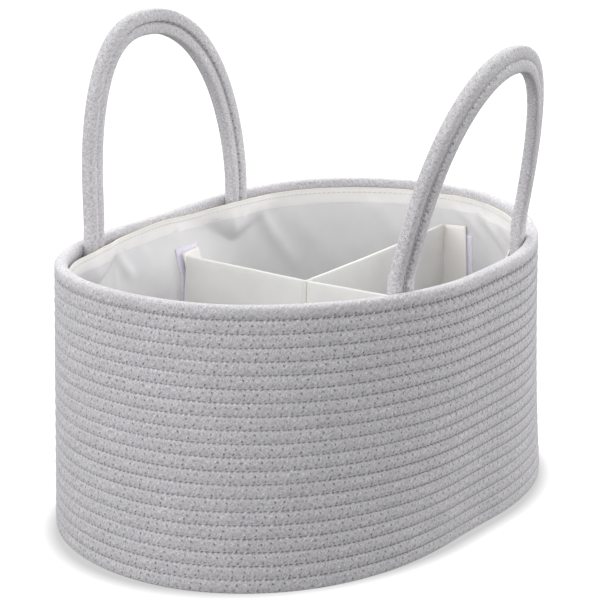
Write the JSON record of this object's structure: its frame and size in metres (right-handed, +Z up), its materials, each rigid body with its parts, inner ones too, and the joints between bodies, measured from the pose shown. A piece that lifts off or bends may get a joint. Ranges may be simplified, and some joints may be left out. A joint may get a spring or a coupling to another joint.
{
  "type": "diaper caddy",
  "caption": "Oval basket of coiled cotton rope with a cloth lining, arched rope handles and a removable divider held by hook-and-loop tabs.",
  "frame": {"origin": "middle of the base, on the surface that the basket stands on", "axes": "+Z up, X along the basket's length with the end arm of the divider towards +X, +Y towards the back handle"},
  "size_m": [0.3806, 0.2608, 0.3042],
  "materials": {
    "cotton_rope": "heathered grey knitted cotton rope, matte",
    "lining_cloth": "white coated polyester, slightly shiny",
    "divider_cloth": "off-white non-woven cloth",
    "grey_board": "plain grey board",
    "hook_and_loop": "pale hook-and-loop tape"
  },
  "bodies": {
    "basket": {"rope_base": "cotton_rope", "rope_wall": "cotton_rope", "rim_rope": "cotton_rope", "lining_floor": "lining_cloth", "lining_wall": "lining_cloth", "lining_hem": "lining_cloth", "back_left_outer_rope_end": "cotton_rope", "back_left_inner_rope_end": "cotton_rope", "back_right_outer_rope_end": "cotton_rope", "back_right_inner_rope_end": "cotton_rope", "front_left_outer_rope_end": "cotton_rope", "front_left_inner_rope_end": "cotton_rope", "front_right_outer_rope_end": "cotton_rope", "front_right_inner_rope_end": "cotton_rope", "back_loop_tape": "hook_and_loop", "front_loop_tape": "hook_and_loop", "end_loop_tape": "hook_and_loop"},
    "back_handle": {"back_handle_outer_rope": "cotton_rope", "back_handle_inner_rope": "cotton_rope"},
    "front_handle": {"front_handle_outer_rope": "cotton_rope", "front_handle_inner_rope": "cotton_rope"},
    "divider": {"divider_seam": "divider_cloth", "end_panel_sleeve": "divider_cloth", "end_panel_board": "grey_board"},
    "back_wing": {"back_panel_sleeve": "divider_cloth", "back_panel_board": "grey_board"},
    "front_wing": {"front_panel_sleeve": "divider_cloth", "front_panel_board": "grey_board"},
    "back_flap": {"back_tab": "divider_cloth", "back_hook_tape": "hook_and_loop"},
    "front_flap": {"front_tab": "divider_cloth", "front_hook_tape": "hook_and_loop"},
    "end_flap": {"end_tab": "divider_cloth", "end_hook_tape": "hook_and_loop"}
  },
  "joints": [
    {"name": "back_handle_swing", "type": "hinge", "parent": "basket", "child": "back_handle", "pos_m": [0, 0.10494, 0.1725], "axis": [1, 0, 0], "range_deg": [-58, 52], "stiffness_Nm_per_rad": 0.5},
    {"name": "front_handle_swing", "type": "hinge", "parent": "basket", "child": "front_handle", "pos_m": [0, -0.10494, 0.1725], "axis": [-1, 0, 0], "range_deg": [-48, 62], "stiffness_Nm_per_rad": 0.5},
    {"name": "divider_lift", "type": "slide", "parent": "basket", "child": "divider", "axis": [0, 0, 1], "range_m": [0, 0.055]},
    {"name": "back_wing_fold", "type": "hinge", "parent": "divider", "child": "back_wing", "pos_m": [-0.008, 0.003, 0.076], "axis": [0, 0, -1], "range_deg": [0, 60]},
    {"name": "front_wing_fold", "type": "hinge", "parent": "divider", "child": "front_wing", "pos_m": [-0.008, 0.003, 0.076], "axis": [0, 0, 1], "range_deg": [0, 60]},
    {"name": "back_tab_peel", "type": "hinge", "parent": "back_wing", "child": "back_flap", "pos_m": [-0.0052, 0.1132, 0.076], "axis": [0, 0, -1], "range_deg": [0, 80]},
    {"name": "front_tab_peel", "type": "hinge", "parent": "front_wing", "child": "front_flap", "pos_m": [-0.0052, -0.1132, 0.076], "axis": [0, 0, 1], "range_deg": [0, 80]},
    {"name": "end_tab_peel", "type": "hinge", "parent": "divider", "child": "end_flap", "pos_m": [0.17656, 0.0002, 0.076], "axis": [0, 0, -1], "range_deg": [0, 80]}
  ]
}
